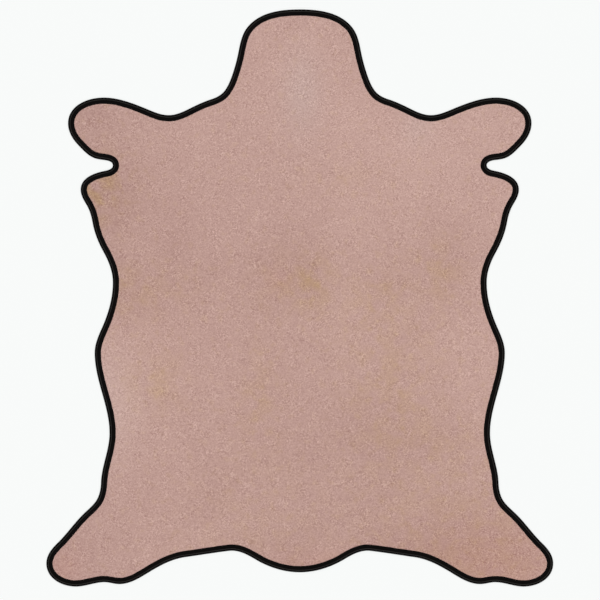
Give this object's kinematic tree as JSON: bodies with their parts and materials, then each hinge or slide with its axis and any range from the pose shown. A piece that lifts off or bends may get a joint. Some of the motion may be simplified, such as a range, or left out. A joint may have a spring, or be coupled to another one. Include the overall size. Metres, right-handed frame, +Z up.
{
  "type": "leather hide",
  "caption": "Flat floor rug of dusty pink suede leather, cut to the outline of an animal's hide, with a black leather binding folded over its whole edge.",
  "frame": {"origin": "on the surface that the rug lies on, below the middle of the outline's bounding box", "axes": "+Y towards the head, which is the longest extent; +X across, to the right seen from above with the head up; +Z up off the floor, which is the shortest extent"},
  "size_m": [1.844, 2.1, 0.0066],
  "materials": {
    "suede": "matte suede nap",
    "binding_leather": "satin black grain",
    "thread": "matte twisted thread"
  },
  "bodies": {
    "root": {"hide": "suede", "binding": "binding_leather"}
  },
  "joints": []
}
